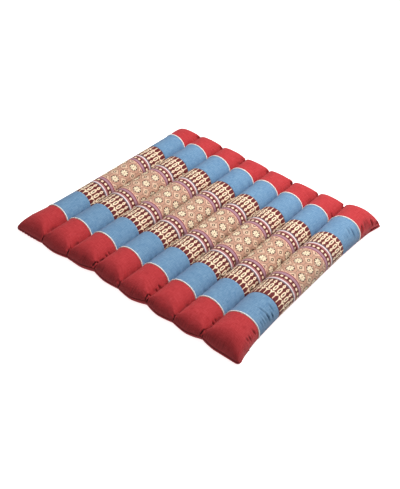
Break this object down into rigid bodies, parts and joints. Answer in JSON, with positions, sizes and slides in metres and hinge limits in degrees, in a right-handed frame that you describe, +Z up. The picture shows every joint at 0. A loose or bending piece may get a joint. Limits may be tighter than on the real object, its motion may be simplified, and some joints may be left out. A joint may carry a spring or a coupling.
{
  "type": "meditation cushion",
  "caption": "Flat square floor cushion of parallel stuffed channels under patchwork cloth, for sitting or meditation.",
  "frame": {"origin": "middle of the underside, on the surface that the cushion lies on", "axes": "+X across the channels, from the slimmer outer channel to the fuller one; +Y along the channels; +Z up, away from the surface that it lies on"},
  "size_m": [0.736, 0.758, 0.0692],
  "materials": {
    "patchwork_cloth": "matt woven cotton in crimson, slub blue and a brocade pattern",
    "cream_piping": "matt corded cotton"
  },
  "bodies": {
    "root": {"cushion": "patchwork_cloth", "piping_near": "cream_piping", "piping_far": "cream_piping"}
  },
  "joints": []
}
